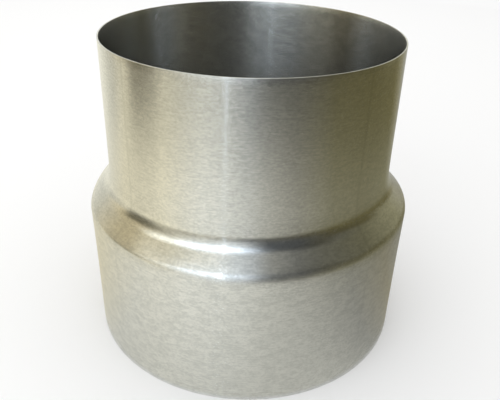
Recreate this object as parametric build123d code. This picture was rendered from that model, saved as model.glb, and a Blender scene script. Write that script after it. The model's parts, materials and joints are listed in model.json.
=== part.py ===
from build123d import *
import os
from math import acos, atan2, degrees, hypot

# Stove pipe extension, in millimetres: one short tube of thin aluminised steel sheet.
# The sheet is rolled and seam-welded at the narrow size, and its lower half is then expanded
# over a former, which leaves a sloped shoulder with one bend above it and one below.
# The tube stands on its wide end: +Z is its axis, and the origin is the centre of that end.

# Driving dimensions
narrow_bore_diameter = 130.0     # inside of the upper end, the smaller pipe size
diameter_step = 20.0             # how much wider the lower end is, one pipe size up
sheet_thickness = 0.6
narrow_socket_depth = 62.0       # straight wall above the shoulder
wide_socket_depth = 62.9         # straight wall below the shoulder
slope_length = 6.3               # straight part of the shoulder, between its two bends
upper_bend_radius = 10.3         # tight side of the bend: the outer face, where the shoulder starts
lower_bend_radius = 5.5          # tight side of the bend: the inner face, where the shoulder ends
deburr_width = 0.15              # the cut ends of the sheet have their sharp corners taken off

# The wall is drawn along its inner face, from the wide end up to the narrow end
narrow_bore_radius = narrow_bore_diameter / 2
radius_step = diameter_step / 2
wide_bore_radius = narrow_bore_radius + radius_step
lower_bend_inside = lower_bend_radius
upper_bend_inside = upper_bend_radius + sheet_thickness

# Two bends of angle A and the slope between them move the wall in by
# bends * (1 - cos A) + slope * sin A, which has to be the step. Solved for A:
bends = lower_bend_inside + upper_bend_inside
shoulder_angle = degrees(acos((bends - radius_step) / hypot(bends, slope_length)) - atan2(slope_length, bends))

# A deburred corner is limited by its wall: the two on one end leave a flat between them
corner_width = min(deburr_width, 0.4 * sheet_thickness)


def make_tube():
    """The sheet's section, carried once around the pipe's axis, with its cut ends deburred."""
    with BuildPart() as tube:
        with BuildSketch(Plane.XZ):
            with BuildLine():
                wide_wall = Line((wide_bore_radius, 0), (wide_bore_radius, wide_socket_depth))
                lower_bend = JernArc(wide_wall @ 1, wide_wall % 1, lower_bend_inside, shoulder_angle)
                slope = Line(lower_bend @ 1, lower_bend @ 1 + slope_length * (lower_bend % 1))
                upper_bend = JernArc(slope @ 1, slope % 1, upper_bend_inside, -shoulder_angle)
                Line(upper_bend @ 1, upper_bend @ 1 + narrow_socket_depth * (upper_bend % 1))
                offset(amount=sheet_thickness, side=Side.RIGHT)
            make_face()
        revolve(axis=Axis.Z)
        end_faces = tube.faces().sort_by(Axis.Z)
        chamfer(end_faces[0].edges() + end_faces[-1].edges(), length=corner_width)
    return tube.part


os.makedirs("parts", exist_ok=True)
export_step(make_tube(), "parts/extension_tube.step")
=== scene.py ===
# %% [markdown]
# Stove pipe extension, dressed for a photograph
#
# The object is one short tube of thin fire-aluminised steel. It is narrow above and one pipe size
# wider below, and a formed shoulder joins the two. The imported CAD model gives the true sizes, so
# this script only adds what a machinist's model leaves out: the unevenness of one formed tube, the
# finish of its sheet and the light of a photographer's table.

# %% The frame that everything is built on
import bpy
import json
import numpy as np
from mathutils import Matrix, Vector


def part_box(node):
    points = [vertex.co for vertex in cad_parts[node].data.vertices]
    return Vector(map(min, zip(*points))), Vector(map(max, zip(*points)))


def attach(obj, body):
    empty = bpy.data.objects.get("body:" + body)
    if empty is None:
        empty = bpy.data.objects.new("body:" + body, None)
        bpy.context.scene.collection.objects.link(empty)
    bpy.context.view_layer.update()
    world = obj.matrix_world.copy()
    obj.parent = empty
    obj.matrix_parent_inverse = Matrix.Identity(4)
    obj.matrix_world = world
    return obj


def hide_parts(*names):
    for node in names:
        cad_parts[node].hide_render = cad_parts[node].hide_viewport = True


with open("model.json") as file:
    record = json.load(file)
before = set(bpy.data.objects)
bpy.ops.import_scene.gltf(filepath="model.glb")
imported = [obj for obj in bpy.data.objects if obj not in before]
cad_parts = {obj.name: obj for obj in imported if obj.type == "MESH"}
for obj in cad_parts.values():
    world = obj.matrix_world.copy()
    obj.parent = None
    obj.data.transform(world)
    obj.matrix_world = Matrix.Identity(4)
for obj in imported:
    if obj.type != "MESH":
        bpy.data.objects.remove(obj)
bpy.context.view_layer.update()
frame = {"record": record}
record = frame["record"]

# %% [markdown]
# The sizes of the sheet
#
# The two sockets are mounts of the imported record, so their radii come from there. The sheet's
# thickness, the height of the tube and the straight walls follow from the sockets and the model's
# box. Only the two bend radii and the deburred corner are written again, because no mount holds
# them.

# %% Sizes of the sheet, in metres
MM = 0.001
sockets = {mount["name"]: mount["dims"] for mount in record["mounts"]}
narrow_bore = sockets["narrow_socket"]["r_mm"] * MM
wide_bore = sockets["wide_socket"]["r_mm"] * MM
upper_bend = 10.3 * MM    # outer face of the bend above the slope
lower_bend = 5.5 * MM     # inner face of the bend below the slope
corner = 0.15 * MM        # taken off the sharp corners of both cut ends

far_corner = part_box("extension_tube")[1]
height = float(far_corner[2])
sheet = float(far_corner[0]) - wide_bore
wide_wall_top = sockets["wide_socket"]["length_mm"] * MM + corner
narrow_wall_foot = height - sockets["narrow_socket"]["length_mm"] * MM - corner
shoulder_rise = narrow_wall_foot - wide_wall_top
print("sheet %.2f mm, height %.1f mm, shoulder from %.1f to %.1f mm" % (
    sheet / MM, height / MM, wide_wall_top / MM, narrow_wall_foot / MM))

# %% [markdown]
# An uneven shoulder
#
# A formed shoulder is never quite even. On this one it lies lower at the front and the back than
# at the sides. Its lower bend is softer on the left, where the sheet sprang back from the tool,
# and tighter beside that. The unevenness could be pushed into a finished mesh with a sculpting
# brush, but then it would be lost when a size changes. Here it is two functions of the turn around
# the axis, which starts at the front and grows to the right.

# %% How the shoulder changes around the axis
AROUND = 512
LIFT_MEAN = 0.3 * MM
LIFT_SWING = 0.9 * MM
LIFT_LEAD = 30.0          # lead of the cosine, in degrees
BEND_CHANGES = (          # turn in degrees, change of the bend's radius, sharpness of the hump
    (-98.0, 9.0 * MM, 14.0),
    (-48.0, -4.2 * MM, 10.0),
    (90.0, -1.2 * MM, 5.0))
turns = np.linspace(0.0, 2 * np.pi, AROUND, endpoint=False)[:, None]


def hump(turn, at, sharpness):
    """A smooth hump of height 1 around one turn: exp(sharpness * (cos(turn - at) - 1))."""
    return np.exp(sharpness * (np.cos(turn - np.radians(at)) - 1.0))


def shoulder_lift(turn):
    """How far the shoulder lies above its true height: a mean less a cosine of twice the turn."""
    return LIFT_MEAN - LIFT_SWING * np.cos(2 * turn + np.radians(LIFT_LEAD))


def lower_bend_at(turn):
    """Radius of the lower bend's inner face: the true radius plus one hump for each change."""
    return lower_bend + sum(change * hump(turn, at, sharpness) for at, change, sharpness in BEND_CHANGES)


lift = shoulder_lift(turns) / MM
bend = lower_bend_at(turns) / MM
print("shoulder lifted by %.1f to %.1f mm" % (lift.min(), lift.max()))
print("lower bend from %.1f to %.1f mm" % (bend.min(), bend.max()))

# %% [markdown]
# The section of the sheet
#
# A revolved form is a profile carried around an axis, so the profile comes first. It could be
# typed in as points, but then no size could change. Here it is straight runs and arcs. The angle
# of the shoulder is the one at which two bends and the slope between them take up both the step
# in radius and the height that the frame gives. The section is worked out for every turn at once,
# with one row for each turn.

# %% The faces of the sheet as runs and arcs
WALL_POINTS = 22
LOWER_ARC_POINTS = 18
UPPER_ARC_POINTS = 20


def shoulder_angle(step, rise, bends):
    """Angle A from the axis with rise * sin A + (bends - step) * cos A = bends, in radians."""
    return np.arcsin(bends / np.hypot(rise, bends - step)) - np.arctan2(bends - step, rise)


def face_line(outward, turn):
    """Radius and height along one face of the sheet, moved out from the inner face by a distance.

    Straight wall, arc of the lower bend, straight slope, arc of the upper bend, straight wall.
    The arcs share their centres for every distance, so the sheet keeps its thickness. A softer
    bend starts lower by the change of its radius times the tangent of half the shoulder's angle.
    """
    upper_inside = upper_bend + sheet
    lower_inside = lower_bend_at(turn)
    angle = shoulder_angle(wide_bore - narrow_bore, shoulder_rise, lower_bend + upper_inside)
    foot = narrow_wall_foot + shoulder_lift(turn)
    top = wide_wall_top + shoulder_lift(turn) - (lower_inside - lower_bend) * np.tan(angle / 2)
    turn_low = np.linspace(0.0, angle, LOWER_ARC_POINTS)
    turn_up = np.linspace(angle, 0.0, UPPER_ARC_POINTS)
    low_radius = lower_inside + outward
    up_radius = upper_inside - outward
    share = np.linspace(0.0, 1.0, WALL_POINTS)
    wide_z = corner + (top - corner) * share[:-1]
    narrow_z = foot + (height - corner - foot) * share[1:]
    radius = np.hstack([
        np.full(wide_z.shape, wide_bore + outward),
        wide_bore - lower_inside + low_radius * np.cos(turn_low),
        narrow_bore + upper_inside - up_radius * np.cos(turn_up) + 0.0 * turn,
        np.full(narrow_z.shape, narrow_bore + outward)])
    z = np.hstack([
        wide_z,
        top + low_radius * np.sin(turn_low),
        foot - up_radius * np.sin(turn_up),
        narrow_z])
    return radius, z


outer_r, outer_z = face_line(sheet, turns)
inner_r, inner_z = face_line(0.0, turns)
print("points along a face:", outer_r.shape[1], "at each of", outer_r.shape[0], "turns")

# %% The cut edges, and the whole section
EDGE_POINTS = 5


def cut_edge(radius, z, way):
    """Rounded cut edge from the outer face to the inner face: two quarter circles of the corner
    radius with a flat between them. way is +1 at the upper end and -1 at the lower end."""
    turn = np.linspace(0.0, np.pi / 2, EDGE_POINTS)
    outer_edge_r = radius + sheet - corner + corner * np.cos(turn)
    inner_edge_r = radius + corner - corner * np.sin(turn)
    outer_edge_z = z + way * corner * (np.sin(turn) - 1.0)
    inner_edge_z = z + way * corner * (np.cos(turn) - 1.0)
    edge_r = np.concatenate([outer_edge_r, inner_edge_r])[1:-1]
    edge_z = np.concatenate([outer_edge_z, inner_edge_z])[1:-1]
    return edge_r + 0.0 * turns, edge_z + 0.0 * turns


top_r, top_z = cut_edge(narrow_bore, height, 1.0)
foot_r, foot_z = cut_edge(wide_bore, 0.0, -1.0)
section_r = np.hstack([outer_r, top_r, inner_r[:, ::-1], foot_r[:, ::-1]])
section_z = np.hstack([outer_z, top_z, inner_z[:, ::-1], foot_z[:, ::-1]])
print("points around the section:", section_r.shape[1])

# %% [markdown]
# The tube as a surface
#
# The sections stand around the axis, one for each turn. Blender's Spin tool could carry one section
# around, but that surface would be perfect and look like a drawing. Real sheet is never quite
# round: rolling and expanding leave waves of up to a tenth of a millimetre, and a bright metal
# shows them as soft upright bands. So every point gets its own radius. The waves only push the wall
# inwards, and the tube stays inside the model's box. Expanding also leaves the wide wall fullest
# just under the shoulder, and lets the narrow wall open a little towards it.

# %% How the wall departs from its true radius
CROWN = 0.5 * MM          # how much fuller the wide wall is under the shoulder
CROWN_REACH = 20.0 * MM
FLARE = 0.36 * MM         # how far the narrow wall opens at its foot
FLARE_REACH = 4.0 * MM
MICRON = 0.001 * MM


def waves(turn, z):
    """How far the wall lies inside its true radius: a sum of cosines of the turn, in metres.

    The waves have whole numbers of crests around, so they close, and they lean a little with
    the height, so the bands that they make aren't ruled lines."""
    crests = np.array([3, 7, 11, 17, 23, 31])
    depth = np.array([30.0, 12.0, 7.0, 3.5, 2.0, 1.0]) * MICRON
    phase = np.array([0.4, 2.1, 5.0, 1.3, 3.7, 0.9])
    lean = np.array([0.2, -0.4, 0.5, 0.9, -1.2, 1.6]) / height
    angle = crests * turn[..., None] + phase + lean * z[..., None]
    return (depth * (1.0 - np.cos(angle))).sum(axis=-1)


def spring(z):
    """How the wall opens and closes along the axis: a narrow wall that widens towards the
    shoulder and a wide wall that narrows away from it, each along an exponential. Over the
    shoulder the widening dies away along a cubic that keeps its slope at both ends."""
    above = np.maximum(z - narrow_wall_foot, 0.0)
    below = np.maximum(wide_wall_top - z, 0.0)
    share = np.clip((z - wide_wall_top) / shoulder_rise, 0.0, 1.0)
    bulge = shoulder_rise / FLARE_REACH * share ** 2 * (1.0 - share)
    fade = share ** 2 * (3.0 - 2.0 * share) + bulge
    opening = FLARE * fade * np.exp(-above / FLARE_REACH)
    closing = CROWN * (1.0 - np.exp(-below / CROWN_REACH))
    return opening - closing


depths = waves(turns, section_z) / MM
print("waves up to %.3f mm deep" % depths.max())

# %% The sheet carried around the axis
def carried_around(radius, z, turn):
    """Grid of points (r sin t, -r cos t, z) for every turn t and every point of the section."""
    t = np.broadcast_to(turn, radius.shape)
    r = radius + spring(z) - waves(t, z)
    return np.stack([r * np.sin(t), -r * np.cos(t), z], axis=-1)


def closed_grid(name, points, along):
    """Mesh of a grid that closes both ways, with smooth faces and one chart of texture
    coordinates: u runs along the section, in step with its length, and v around the axis."""
    rows, columns = points.shape[:2]
    i, j = np.meshgrid(np.arange(rows), np.arange(columns), indexing="ij")
    next_i = (i + 1) % rows
    next_j = (j + 1) % columns
    faces = np.stack([i * columns + j, next_i * columns + j,
                      next_i * columns + next_j, i * columns + next_j], axis=-1).reshape(-1, 4)
    u = np.stack([along[j], along[j], along[j + 1], along[j + 1]], axis=-1)
    v = np.stack([i, i + 1, i + 1, i], axis=-1) / rows
    mesh = bpy.data.meshes.new(name)
    mesh.from_pydata(points.reshape(-1, 3), [], faces)
    chart = mesh.uv_layers.new(name="sheet")
    chart.data.foreach_set("uv", np.stack([u, v], axis=-1).astype(np.float32).ravel())
    mesh.polygons.foreach_set("use_smooth", np.ones(len(faces), dtype=bool))
    mesh.update()
    piece = bpy.data.objects.new(name, mesh)
    bpy.context.collection.objects.link(piece)
    return piece


loop_r = np.append(section_r[0], section_r[0, 0])
loop_z = np.append(section_z[0], section_z[0, 0])
steps = np.hypot(np.diff(loop_r), np.diff(loop_z))
way_along = np.concatenate([[0.0], np.cumsum(steps)]) / steps.sum()
tube = closed_grid("tube_wall", carried_around(section_r, section_z, turns), way_along)
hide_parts("extension_tube")
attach(tube, "root")
print("tube wall:", len(tube.data.polygons), "faces")

# %% [markdown]
# Aluminised steel
#
# The sheet is hot-dipped in aluminium and then rolled, so it is a pale metal with fine, short
# hairlines around the tube and a speckle between them. Each hairline spreads light up and down but
# hardly sideways, which is what anisotropy is for. Soft blotches lie over that: they are faint on
# the upper wall, stronger on the expanded lower wall and strongest inside. Four faint lines run
# along the tube, where the jaws of the expanding tool met. The tool also rubbed the slope and the
# upper bend smoother, and scuffed the lower bend.
#
# All this could be painted on a picture, but a picture has pixels and a seam. Noise that is read
# from the place on the tube has neither, and it follows when a size changes.

# %% Helpers for shader nodes
def add(tree, kind, **settings):
    """A new node with its settings."""
    node = tree.nodes.new(kind)
    for name, value in settings.items():
        setattr(node, name, value)
    return node


def feed(tree, socket, value):
    """Give an input its value: a link where the value is another node's output, or a number."""
    if hasattr(value, "is_linked"):
        tree.links.new(value, socket)
    else:
        socket.default_value = value


def sums(tree, operation, *values):
    """One arithmetic step on two or three values, each a socket or a number."""
    node = add(tree, "ShaderNodeMath", operation=operation)
    for socket, value in zip(node.inputs, values):
        feed(tree, socket, value)
    return node.outputs["Value"]


def remap(tree, value, low_in, high_in, low_out, high_out, smooth=False):
    """A value moved from one range to another, clamped, evenly or along a smooth step."""
    node = add(tree, "ShaderNodeMapRange")
    if smooth:
        node.interpolation_type = "SMOOTHSTEP"
    for socket, number in zip(("From Min", "From Max", "To Min", "To Max"),
                              (low_in, high_in, low_out, high_out)):
        node.inputs[socket].default_value = number
    tree.links.new(value, node.inputs["Value"])
    return node.outputs["Result"]


def blended(tree, factor, a, b):
    """A value between a and b: a * (1 - factor) + b * factor."""
    node = add(tree, "ShaderNodeMix", data_type="FLOAT")
    feed(tree, node.inputs[0], factor)
    feed(tree, node.inputs[2], a)
    feed(tree, node.inputs[3], b)
    return node.outputs[0]


print("node helpers:", ", ".join(helper.__name__ for helper in (add, feed, sums, remap, blended)))

# %% Grain and blotches
HAIRLINES = (230.0, 230.0, 2000.0)    # features to the metre along X, Y and Z
SPECKLE = (800.0, 800.0, 1300.0)
BLOTCHES = (220.0, 220.0, 360.0)
HAIRLINE_SHADE = 0.4                  # how far each one moves the shade to both sides
SPECKLE_SHADE = 0.55
BLOTCH_ABOVE = 0.2
BLOTCH_BELOW = 0.5
BLOTCH_INSIDE = 0.65
NOISE_LOW = 0.3                       # most of a noise lies between these two
NOISE_HIGH = 0.7
NOISE_FADE = 0.6                      # strength of each finer layer of a noise
FINE_DETAIL = 2.0                     # number of finer layers
BLOTCH_DETAIL = 3.0


def stretched_noise(tree, place, per_metre, detail):
    """Noise with that many features to the metre along X, Y and Z, read from a place."""
    mapping = add(tree, "ShaderNodeMapping")
    mapping.inputs["Scale"].default_value = per_metre
    noise = add(tree, "ShaderNodeTexNoise")
    noise.inputs["Scale"].default_value = 1.0
    noise.inputs["Detail"].default_value = detail
    noise.inputs["Roughness"].default_value = NOISE_FADE
    tree.links.new(place, mapping.inputs["Vector"])
    tree.links.new(mapping.outputs["Vector"], noise.inputs["Vector"])
    return noise.outputs["Fac"]


def grain_shade(tree, place, speckle):
    """Hairlines and speckle added up, each a noise moved to a range around 0."""
    lines = stretched_noise(tree, place, HAIRLINES, FINE_DETAIL)
    line_shade = remap(tree, lines, NOISE_LOW, NOISE_HIGH, -HAIRLINE_SHADE, HAIRLINE_SHADE)
    speckle_shade = remap(tree, speckle, NOISE_LOW, NOISE_HIGH, -SPECKLE_SHADE, SPECKLE_SHADE)
    return sums(tree, "ADD", line_shade, speckle_shade)


def blotch_shade(tree, place, lower, inside):
    """Blotches from -1 to 1, times a weight for the upper wall, the lower wall or the inside."""
    blotches = stretched_noise(tree, place, BLOTCHES, BLOTCH_DETAIL)
    outside_weight = blended(tree, lower, BLOTCH_ABOVE, BLOTCH_BELOW)
    weight = blended(tree, inside, outside_weight, BLOTCH_INSIDE)
    return sums(tree, "MULTIPLY", remap(tree, blotches, NOISE_LOW, NOISE_HIGH, -1.0, 1.0), weight)


print("hairlines about %.1f mm long and %.1f mm wide" % (
    1.0 / HAIRLINES[0] / MM, 1.0 / HAIRLINES[2] / MM))

# %% The lines between the jaws
JAWS = 4
FIRST_GAP = -47.5         # turn of one line, in degrees
GAP_HALF = 1.0            # half of a line's width, in degrees
GAP_ABOVE = 0.6           # how dark a line is on the upper wall
GAP_BELOW = 0.28


def jaw_shade(tree, around, lower):
    """Dark lines along the tube. The share of a turn times the number of jaws, moved so that a
    line lies at each whole number, gives the distance to the nearest line. The shade is lowest
    on the line and 0 from half its width on."""
    jaw_turn = sums(tree, "MULTIPLY_ADD", around, float(JAWS), -FIRST_GAP * JAWS / 360.0)
    from_gap = sums(tree, "PINGPONG", jaw_turn, 0.5)
    gap_line = remap(tree, from_gap, 0.0, GAP_HALF * JAWS / 360.0, -1.0, 0.0, smooth=True)
    return sums(tree, "MULTIPLY", gap_line, blended(tree, lower, GAP_ABOVE, GAP_BELOW))


print("lines along the tube at", [FIRST_GAP + jaw * 360.0 / JAWS for jaw in range(JAWS)], "degrees")

# %% Where the tool rubbed and scuffed the sheet
WALL_ROUGH = 0.22
RUBBED_ROUGH = 0.15
SCUFFED_ROUGH = 0.27
RUBBED_BAND = (           # heights: start, full, fade and end
    wide_wall_top + 2 * MM, wide_wall_top + 7 * MM,
    narrow_wall_foot - 2 * MM, narrow_wall_foot + 1 * MM)
SCUFFED_BAND = (
    wide_wall_top - 3 * MM, wide_wall_top + 1 * MM,
    wide_wall_top + 2 * MM, wide_wall_top + 6 * MM)


def band(tree, z, start, full, fade, end):
    """1 from full to fade, 0 below start and above end, and a smooth step on both sides."""
    rising = remap(tree, z, start, full, 0.0, 1.0, smooth=True)
    falling = remap(tree, z, fade, end, 1.0, 0.0, smooth=True)
    return sums(tree, "MULTIPLY", rising, falling)


def tool_roughness(tree, z):
    """The roughness of the walls, lowered where the tool rubbed and raised where it scuffed."""
    rubbed = blended(tree, band(tree, z, *RUBBED_BAND), WALL_ROUGH, RUBBED_ROUGH)
    return blended(tree, band(tree, z, *SCUFFED_BAND), rubbed, SCUFFED_ROUGH)


print("rubbed from %.1f to %.1f mm, scuffed from %.1f to %.1f mm" % (
    RUBBED_BAND[0] / MM, RUBBED_BAND[3] / MM, SCUFFED_BAND[0] / MM, SCUFFED_BAND[3] / MM))

# %% The whole finish
DARK_TINT = (0.595, 0.60, 0.58, 1.0)
LIGHT_TINT = (0.715, 0.715, 0.69, 1.0)
MIDDLE_SHADE = 0.5        # a shade of 0 lies halfway between the two tints
SPECKLE_DEPTH = 6.0 * MICRON
INNER_FACE_FROM = 0.5     # the inner face is the second half of the way along the section


def aluminised_steel():
    """Anisotropic metal. Its tint runs from dark to light with the sum of all shades, its
    roughness follows the tool, and its speckle stands up from the surface a little."""
    material = bpy.data.materials.new("aluminised_steel")
    material.use_nodes = True
    tree = material.node_tree
    shader = tree.nodes["Principled BSDF"]
    place = add(tree, "ShaderNodeTexCoord").outputs["Object"]
    split = add(tree, "ShaderNodeSeparateXYZ")
    chart = add(tree, "ShaderNodeSeparateXYZ")
    tree.links.new(place, split.inputs["Vector"])
    tree.links.new(add(tree, "ShaderNodeUVMap", uv_map="sheet").outputs["UV"], chart.inputs["Vector"])
    z = split.outputs["Z"]
    along, around = chart.outputs["X"], chart.outputs["Y"]

    lower = remap(tree, z, wide_wall_top, narrow_wall_foot, 1.0, 0.0, smooth=True)
    inside = remap(tree, along, INNER_FACE_FROM - 0.001, INNER_FACE_FROM + 0.001, 0.0, 1.0)
    speckle = stretched_noise(tree, place, SPECKLE, FINE_DETAIL)
    grain = grain_shade(tree, place, speckle)
    mottle = blotch_shade(tree, place, lower, inside)
    shade = sums(tree, "ADD", sums(tree, "ADD", grain, mottle), jaw_shade(tree, around, lower))
    tint = add(tree, "ShaderNodeMix", data_type="RGBA")
    tint.inputs[6].default_value = DARK_TINT
    tint.inputs[7].default_value = LIGHT_TINT
    tree.links.new(sums(tree, "ADD", shade, MIDDLE_SHADE), tint.inputs[0])
    tree.links.new(tint.outputs[2], shader.inputs["Base Color"])
    tree.links.new(tool_roughness(tree, z), shader.inputs["Roughness"])

    bump = add(tree, "ShaderNodeBump")
    bump.inputs["Strength"].default_value = 1.0
    bump.inputs["Distance"].default_value = SPECKLE_DEPTH
    tree.links.new(speckle, bump.inputs["Height"])
    tree.links.new(bump.outputs["Normal"], shader.inputs["Normal"])
    tangent = add(tree, "ShaderNodeTangent", direction_type="UV_MAP", uv_map="sheet")
    tree.links.new(tangent.outputs["Tangent"], shader.inputs["Tangent"])
    shader.inputs["Metallic"].default_value = 1.0
    shader.inputs["Anisotropic"].default_value = 1.0
    return material


tube.data.materials.append(aluminised_steel())
print("finish:", tube.data.materials[0].name, "with", len(tube.data.materials[0].node_tree.nodes), "nodes")

# %% [markdown]
# The table and the light
#
# The tube stands on a plain pale floor. An even white sky lights everything, and one soft lamp at
# the front left gives the shadow. A lamp that the metal mirrors would show as one hard patch, so
# reflections don't see this one. They see the cards that follow, and the shadow and the
# reflections can be set one by one.

# %% Floor and sky
FLOOR_HALF = 4.0
FLOOR_COLOUR = (0.9, 0.9, 0.9, 1.0)
FLOOR_ROUGH = 0.9
SKY_STRENGTH = 1.05


def pale_floor():
    """The plain material of the floor."""
    material = bpy.data.materials.new("pale_floor")
    material.use_nodes = True
    shader = material.node_tree.nodes["Principled BSDF"]
    shader.inputs["Base Color"].default_value = FLOOR_COLOUR
    shader.inputs["Roughness"].default_value = FLOOR_ROUGH
    return material


floor_mesh = bpy.data.meshes.new("floor")
floor_mesh.from_pydata([(-FLOOR_HALF, -FLOOR_HALF, 0), (FLOOR_HALF, -FLOOR_HALF, 0),
                        (FLOOR_HALF, FLOOR_HALF, 0), (-FLOOR_HALF, FLOOR_HALF, 0)], [], [(0, 1, 2, 3)])
floor = bpy.data.objects.new("floor", floor_mesh)
bpy.context.collection.objects.link(floor)
floor.data.materials.append(pale_floor())

world = bpy.data.worlds.new("studio")
world.use_nodes = True
sky = world.node_tree.nodes["Background"]
sky.inputs["Color"].default_value = (1.0, 1.0, 1.0, 1.0)
sky.inputs["Strength"].default_value = SKY_STRENGTH
bpy.context.scene.world = world
print("floor %.0f m wide, sky of strength %.2f" % (2 * FLOOR_HALF, SKY_STRENGTH))

# %% Lamp
MIDDLE = np.array([0.0, 0.0, 0.08])   # the point that the lamp and the cards stand around


def soft_panel(name, azimuth, elevation, distance, width, tall, radiance):
    """An area lamp that faces the tube from an azimuth, counted from the viewer and positive to
    the right. Its power is radiance * pi * area."""
    lamp = bpy.data.lights.new(name, "AREA")
    lamp.shape = "RECTANGLE"
    lamp.size = width
    lamp.size_y = tall
    lamp.energy = radiance * np.pi * width * tall
    panel = bpy.data.objects.new(name, lamp)
    bpy.context.collection.objects.link(panel)
    a, e = np.radians([azimuth, elevation])
    towards = np.array([np.sin(a) * np.cos(e), -np.cos(a) * np.cos(e), np.sin(e)])
    panel.rotation_euler = (np.pi / 2 - e, 0.0, a)
    panel.location = MIDDLE + distance * towards
    panel.visible_glossy = False
    return panel


window_lamp = soft_panel("window_lamp", azimuth=-30.0, elevation=31.0, distance=0.9,
                         width=0.80, tall=0.55, radiance=1.1)
print("lamp of %.2f W" % window_lamp.data.energy)

# %% [markdown]
# How a card is made
#
# Bare metal shows its surroundings more than its own colour, so what it mirrors is most of the
# look. A picture of a room could be wrapped around the scene, but a photographer works with cards,
# light ones and dark ones, each just where the metal mirrors it. A card here is a thin sheet
# around the tube that glows in its own colours, with soft edges. Only reflections see the cards,
# so they change the look of the metal and not the light on the floor.

# %% The glow of a card
PALE = (1.0, 1.0, 0.92)
WARM = (1.07, 1.0, 0.76)
CLEAR = (0.95, 1.0, 1.02)
COOL = (0.88, 1.0, 1.16)
STRAW = (1.03, 1.0, 0.84)
TAN = (1.06, 1.0, 0.62)
SAND = (1.16, 1.0, 0.64)
BROWN = (1.15, 1.0, 0.42)


def card_glow():
    """The material of every card: it glows in the card's own colours, and their fourth value
    says how solid the card is there."""
    material = bpy.data.materials.new("card_glow")
    material.use_nodes = True
    tree = material.node_tree
    tree.nodes.clear()
    colour = add(tree, "ShaderNodeAttribute", attribute_name="glow")
    glow = add(tree, "ShaderNodeEmission")
    clear = add(tree, "ShaderNodeBsdfTransparent")
    cover = add(tree, "ShaderNodeMixShader")
    out = add(tree, "ShaderNodeOutputMaterial")
    tree.links.new(colour.outputs["Color"], glow.inputs["Color"])
    tree.links.new(colour.outputs["Alpha"], cover.inputs[0])
    tree.links.new(clear.outputs[0], cover.inputs[1])
    tree.links.new(glow.outputs[0], cover.inputs[2])
    tree.links.new(cover.outputs[0], out.inputs["Surface"])
    return material


CARD_GLOW = card_glow()
print("every card has the material", CARD_GLOW.name)

# %% The sheet of a card
PATH_POINTS = 17
ARC_POINTS = 181


def dome_path(low, high, radius):
    """Radius and height on a dome round the tube's middle, from a low to a high elevation."""
    e = np.radians(np.linspace(low, high, PATH_POINTS))
    return radius * np.cos(e), MIDDLE[2] + radius * np.sin(e)


def floor_path(near, far, z):
    """Radius and height on a line just above the floor."""
    return np.linspace(near, far, PATH_POINTS), np.full(PATH_POINTS, z)


def smooth_step(x):
    """0 up to 0, 1 from 1 on, and 3 x^2 - 2 x^3 between."""
    x = np.clip(x, 0.0, 1.0)
    return x * x * (3.0 - 2.0 * x)


def card_colours(turn, share, stops, soft):
    """Red, green, blue and cover at every point: the level between the stops around the axis and
    between the two levels along the path, times the tint. The cover falls off at the sides."""
    azimuth = [stop[0] for stop in stops]
    tints = np.array([stop[3] for stop in stops])
    first = np.interp(turn, azimuth, [stop[1] for stop in stops])[:, None]
    last = np.interp(turn, azimuth, [stop[2] for stop in stops])[:, None]
    level = first + (last - first) * share
    tint = np.stack([np.interp(turn, azimuth, tints[:, k]) for k in range(3)], axis=-1)
    along = np.linspace(0.0, 1.0, turn.size)[:, None]
    cover = np.ones_like(level)
    for side, amount in zip((along, 1.0 - along, share, 1.0 - share), soft):
        if amount:
            cover = cover * smooth_step(side / amount)
    return np.concatenate([level[..., None] * tint[:, None], cover[..., None]], axis=-1)


print("a card has %d by %d points" % (ARC_POINTS, PATH_POINTS))

# %% A card from its path and its stops
EVEN = (0.0, 0.0, 0.0, 0.0)


def shade_card(name, path, stops, soft=EVEN, lean=0.0):
    """A card round the tube, which only reflections see: its path, carried around an arc.

    A stop gives an azimuth, the level of the glow at the start and at the end of the path, and a
    tint. The card thins out over soft shares of its sides: both ends of the arc, both of the path.
    A leaning card turns on around the axis along its path, by that many degrees."""
    turn = np.linspace(stops[0][0], stops[-1][0], ARC_POINTS)
    share = np.linspace(0.0, 1.0, PATH_POINTS)
    radius, z = path
    t = np.radians(turn[:, None] + lean * share)
    points = np.stack([radius * np.sin(t), -radius * np.cos(t), z + 0.0 * t], axis=-1)
    i, j = np.meshgrid(np.arange(ARC_POINTS - 1), np.arange(PATH_POINTS - 1), indexing="ij")
    here = i * PATH_POINTS + j
    faces = np.stack([here, here + PATH_POINTS, here + PATH_POINTS + 1, here + 1], axis=-1).reshape(-1, 4)
    mesh = bpy.data.meshes.new(name)
    mesh.from_pydata(points.reshape(-1, 3), [], faces)
    colours = mesh.attributes.new("glow", "FLOAT_COLOR", "POINT")
    colours.data.foreach_set("color", card_colours(turn, share, stops, soft).astype(np.float32).ravel())
    card = bpy.data.objects.new(name, mesh)
    bpy.context.collection.objects.link(card)
    card.visible_camera = False
    card.visible_diffuse = False
    card.visible_shadow = False
    card.data.materials.append(CARD_GLOW)
    return card


print("a card has", (ARC_POINTS - 1) * (PATH_POINTS - 1), "faces")

# %% [markdown]
# The room around the tube
#
# The shoulder, the rim and the inside mirror what stands around the tube. The surround is a pale
# room that is bright behind the tube and dim on the right. A cool window stands at the front left,
# with one narrow bright bar in it, which the metal draws as a thin upright line. A dark shelf on
# the left, the gloom at the front right and a dark skirting on the right make the dark streaks of
# the shoulder. Models of such things could stand there, but the satin metal blurs them, so plain
# cards do the same. A card of a smaller radius covers those behind it.

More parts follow.
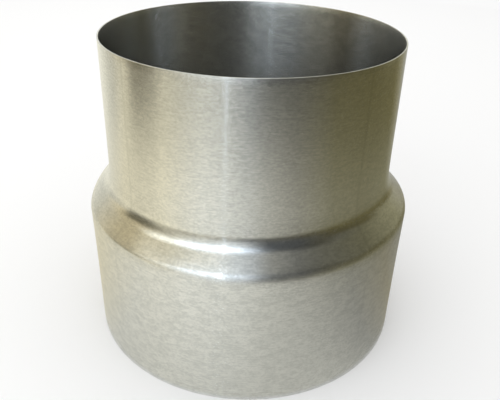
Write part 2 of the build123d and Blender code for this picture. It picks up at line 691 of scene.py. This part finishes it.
# %% Cards that stand
standing = [
    shade_card("surround", dome_path(low=-5.0, high=89.9, radius=0.90), (
        (-180, 1.30, 1.10, PALE), (-150, 0.88, 0.50, PALE), (-125, 0.84, 0.28, STRAW),
        (-100, 0.72, 0.28, SAND), (-80, 0.72, 0.28, SAND), (-60, 0.65, 0.86, WARM),
        (-30, 0.90, 1.15, PALE), (-10, 1.00, 0.75, CLEAR), (5, 0.55, 0.68, CLEAR),
        (20, 0.27, 0.45, PALE), (40, 0.03, 0.35, PALE), (90, 0.20, 0.08, TAN),
        (122, 0.32, 0.27, TAN), (150, 0.50, 0.25, STRAW), (180, 1.30, 1.10, PALE))),
    shade_card("window", dome_path(low=13.0, high=37.0, radius=0.86), (
        (-90, 1.2, 1.2, WARM), (-55, 2.0, 2.0, PALE), (-38, 3.0, 3.0, COOL),
        (-22, 3.6, 3.6, COOL), (-12, 2.8, 2.8, COOL), (-2, 1.7, 1.7, COOL),
        (24, 1.2, 1.2, COOL)), soft=(0.2, 0.25, 0.3, 0.35)),
    shade_card("window_bar", dome_path(low=15.0, high=33.0, radius=0.84), (
        (-17.2, 16.0, 16.0, COOL), (-16.0, 16.0, 16.0, COOL)), soft=(0.3, 0.3, 0.2, 0.4)),
    shade_card("shelf", dome_path(low=-4.0, high=11.0, radius=0.86), (
        (-105, 0.09, 0.09, TAN), (-47, 0.09, 0.09, TAN)), soft=(0.3, 0.5, 0.0, 0.45)),
    shade_card("gloom", dome_path(low=-4.0, high=38.0, radius=0.86), (
        (-4, 0.10, 0.16, COOL), (35, 0.10, 0.06, CLEAR), (68, 0.12, 0.06, BROWN)),
        soft=(0.3, 0.3, 0.0, 0.3)),
    shade_card("skirting", dome_path(low=-4.0, high=11.0, radius=0.85), (
        (48, 0.07, 0.05, BROWN), (112, 0.12, 0.10, BROWN)), soft=(0.25, 0.35, 0.0, 0.5))]
print("standing cards:", ", ".join(card.name for card in standing))

# %% [markdown]
# The floor around the tube
#
# The camera looks down, so the two straight walls mirror the floor: the foot of a wall mirrors what
# is near, and the top of it what is far. Three rings are the table, the floor beside it and the far
# floor. All are dim on the right, and the far floor is dark at the front too. On the table and the
# floor beside it, that dimness is painted shade: the tube's own shadow, as the metal mirrors it.
# The window's bar leaves a gleam on the floor and the shelf a shadow, and both lie a little higher
# than the rings.
# The dark card on the floor inside the tube is painted shade: the shade in the tube's hollow, as the
# metal mirrors it. One painted floor could hold all of it, but then nothing on it could be moved by
# itself.

# %% Cards that lie
RING_HEIGHT = 0.3 * MM
MARK_HEIGHT = 0.6 * MM
TABLE_FROM = wide_bore + sheet + 0.4 * MM
TABLE_TO = 0.17
MID_TO = 0.30
FAR_TO = 0.90
lying = [
    shade_card("bar_gleam", floor_path(near=0.26, far=0.88, z=MARK_HEIGHT), (
        (-16.9, 4.0, 5.5, COOL), (-16.4, 4.0, 5.5, COOL)), soft=(0.3, 0.3, 0.4, 0.0), lean=2.4),
    shade_card("shelf_shadow", floor_path(near=0.38, far=0.90, z=MARK_HEIGHT), (
        (-92, 0.03, 0.03, TAN), (-56, 0.03, 0.03, TAN)), soft=(0.25, 0.45, 0.15, 0.0), lean=-10.0),
    # painted shade: the low levels on the right stand for the tube's shadow on the table
    shade_card("table", floor_path(TABLE_FROM, TABLE_TO, RING_HEIGHT), (
        (-180, 0.80, 0.92, PALE), (-100, 0.75, 0.86, WARM), (-60, 0.78, 1.04, PALE),
        (-30, 0.79, 1.08, PALE), (0, 0.69, 0.92, PALE), (30, 0.63, 0.56, PALE),
        (60, 0.40, 0.33, PALE), (90, 0.35, 0.29, WARM), (122, 0.40, 0.31, PALE),
        (148, 0.50, 0.50, PALE), (180, 0.80, 0.92, PALE))),
    # painted shade: the low levels on the right stand for the tube's shadow on the floor beside the table
    shade_card("mid_floor", floor_path(TABLE_TO, MID_TO, RING_HEIGHT), (
        (-180, 0.92, 1.10, PALE), (-130, 0.86, 0.95, STRAW), (-100, 0.86, 1.05, WARM),
        (-60, 1.04, 1.42, WARM), (-30, 1.08, 1.48, PALE), (0, 0.92, 1.23, PALE),
        (30, 0.56, 0.47, STRAW), (60, 0.33, 0.25, TAN), (90, 0.28, 0.20, TAN),
        (122, 0.28, 0.20, TAN), (148, 0.50, 0.50, PALE), (180, 0.92, 1.10, PALE))),
    shade_card("far_floor", floor_path(MID_TO, FAR_TO, RING_HEIGHT), (
        (-180, 1.20, 1.20, PALE), (-130, 0.95, 0.90, STRAW), (-114, 0.72, 0.56, STRAW),
        (-98, 0.86, 0.74, WARM), (-82, 0.60, 0.10, WARM), (-60, 0.65, 0.50, WARM),
        (-45, 0.48, 0.25, WARM), (-30, 0.55, 0.35, WARM), (0, 0.0, 0.0, WARM),
        (60, 0.13, 0.09, BROWN), (122, 0.15, 0.11, BROWN), (148, 0.45, 0.45, PALE),
        (180, 1.20, 1.20, PALE))),
    # painted shade: a dark card for the shade in the tube's hollow, which the metal mirrors
    shade_card("inner_floor_shade", floor_path(1.0 * MM, wide_bore - 1.0 * MM, RING_HEIGHT), (
        (-180, 0.04, 0.04, COOL), (180, 0.04, 0.04, COOL)))]
print("lying cards:", ", ".join(card.name for card in lying))

# %% [markdown]
# The camera
#
# The photograph looks down at the tube from close by, with the camera rolled a little. A camera
# could be aimed by hand, but place, tilt and lens all move the outline at once. So they were fitted
# to the outline of the tube together, and the picture lines up with it.

# %% Camera
CAMERA_BACK = 258.25 * MM
CAMERA_HEIGHT = 202.88 * MM
PITCH, YAW, ROLL = np.radians([29.315, 0.204, 1.616])
SENSOR = 36.0             # millimetres, as Blender counts a sensor and a lens
LENS = 42.714


def camera_axes():
    """Right, up and backward axes of the camera: looking along +Y, pitched down, turned, rolled."""
    ahead = np.array([np.sin(YAW) * np.cos(PITCH), np.cos(YAW) * np.cos(PITCH), -np.sin(PITCH)])
    level = np.array([np.cos(YAW), -np.sin(YAW), 0.0])
    upright = np.cross(level, ahead)
    right = np.cos(ROLL) * level + np.sin(ROLL) * upright
    up = np.cos(ROLL) * upright - np.sin(ROLL) * level
    return right, up, -ahead


lens = bpy.data.cameras.new("camera")
lens.sensor_width = SENSOR
lens.lens = LENS
lens.clip_start = 0.01
camera = bpy.data.objects.new("camera", lens)
bpy.context.collection.objects.link(camera)
matrix = np.eye(4)
matrix[:3, 0], matrix[:3, 1], matrix[:3, 2] = camera_axes()
matrix[:3, 3] = (0.0, -CAMERA_BACK, CAMERA_HEIGHT)
camera.matrix_world = Matrix(matrix.tolist())
bpy.context.scene.camera = camera
bpy.context.scene.view_settings.view_transform = "Standard"
print("lens %.1f mm, %.0f mm from the tube's axis" % (LENS, CAMERA_BACK / MM))
